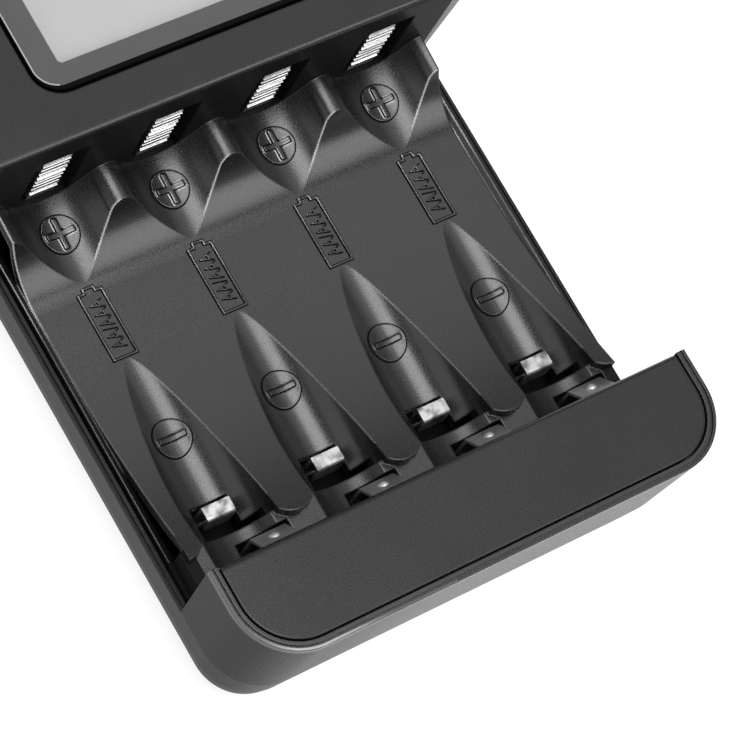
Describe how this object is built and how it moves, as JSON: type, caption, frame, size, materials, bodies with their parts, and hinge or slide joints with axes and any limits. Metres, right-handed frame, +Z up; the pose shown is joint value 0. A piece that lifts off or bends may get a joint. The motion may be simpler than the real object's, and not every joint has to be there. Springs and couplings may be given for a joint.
{
  "type": "battery charger",
  "caption": "Desktop charger with side-by-side open bays for AA or AAA cells, sprung metal contacts, a front lip and a raised display head with a power inlet at the back.",
  "frame": {"origin": "middle of the footprint, on the table", "axes": "+X across the bays to the right seen from the front lip, +Y from the front lip to the display head, +Z up"},
  "size_m": [0.0704, 0.114, 0.027],
  "materials": {
    "black_case": "fine spark-textured black plastic",
    "lens": "clear window with a grey printed border",
    "display": "plain light-grey display",
    "light_panel": "white diffusing plastic",
    "board": "green solder mask",
    "chip": "moulded black package",
    "coil": "dark grey ferrite",
    "can": "plain metal can",
    "spring_metal": "bright nickel-plated spring strip",
    "steel": "plain steel",
    "wire": "soft insulated wire",
    "foot": "matt black rubber"
  },
  "bodies": {
    "charger": {"lower_case": "black_case", "upper_case": "black_case", "display_lens": "lens", "lcd_panel": "display", "backlight_panel": "light_panel", "main_board": "board", "controller_chip": "chip", "power_coil": "coil", "capacitors": "can", "power_socket": "steel", "contact_holder": "black_case", "link_wires": "wire", "case_screws": "steel", "rubber_feet": "foot", "positive_contact_1": "spring_metal", "positive_contact_2": "spring_metal", "positive_contact_3": "spring_metal", "positive_contact_4": "spring_metal"},
    "aa_leaf_1": {"aa_contact_1": "spring_metal"},
    "aaa_tab_1": {"aaa_contact_1": "spring_metal"},
    "aa_leaf_2": {"aa_contact_2": "spring_metal"},
    "aaa_tab_2": {"aaa_contact_2": "spring_metal"},
    "aa_leaf_3": {"aa_contact_3": "spring_metal"},
    "aaa_tab_3": {"aaa_contact_3": "spring_metal"},
    "aa_leaf_4": {"aa_contact_4": "spring_metal"},
    "aaa_tab_4": {"aaa_contact_4": "spring_metal"}
  },
  "joints": [
    {"name": "aa_leaf_bend_1", "type": "hinge", "parent": "charger", "child": "aa_leaf_1", "pos_m": [-0.02055, -0.0396, 0.0046], "axis": [1, 0, 0], "range_deg": [0, 8], "stiffness_Nm_per_rad": 0.25, "springref_deg": -4.58},
    {"name": "aaa_tab_bend_1", "type": "hinge", "parent": "charger", "child": "aaa_tab_1", "pos_m": [-0.024, -0.0333, 0.0046], "axis": [1, 0, 0], "range_deg": [0, 10], "stiffness_Nm_per_rad": 0.15, "springref_deg": -4.58},
    {"name": "aa_leaf_bend_2", "type": "hinge", "parent": "charger", "child": "aa_leaf_2", "pos_m": [-0.00455, -0.0396, 0.0046], "axis": [1, 0, 0], "range_deg": [0, 8], "stiffness_Nm_per_rad": 0.25, "springref_deg": -4.58},
    {"name": "aaa_tab_bend_2", "type": "hinge", "parent": "charger", "child": "aaa_tab_2", "pos_m": [-0.008, -0.0333, 0.0046], "axis": [1, 0, 0], "range_deg": [0, 10], "stiffness_Nm_per_rad": 0.15, "springref_deg": -4.58},
    {"name": "aa_leaf_bend_3", "type": "hinge", "parent": "charger", "child": "aa_leaf_3", "pos_m": [0.01145, -0.0396, 0.0046], "axis": [1, 0, 0], "range_deg": [0, 8], "stiffness_Nm_per_rad": 0.25, "springref_deg": -4.58},
    {"name": "aaa_tab_bend_3", "type": "hinge", "parent": "charger", "child": "aaa_tab_3", "pos_m": [0.008, -0.0333, 0.0046], "axis": [1, 0, 0], "range_deg": [0, 10], "stiffness_Nm_per_rad": 0.15, "springref_deg": -4.58},
    {"name": "aa_leaf_bend_4", "type": "hinge", "parent": "charger", "child": "aa_leaf_4", "pos_m": [0.02745, -0.0396, 0.0046], "axis": [1, 0, 0], "range_deg": [0, 8], "stiffness_Nm_per_rad": 0.25, "springref_deg": -4.58},
    {"name": "aaa_tab_bend_4", "type": "hinge", "parent": "charger", "child": "aaa_tab_4", "pos_m": [0.024, -0.0333, 0.0046], "axis": [1, 0, 0], "range_deg": [0, 10], "stiffness_Nm_per_rad": 0.15, "springref_deg": -4.58}
  ]
}
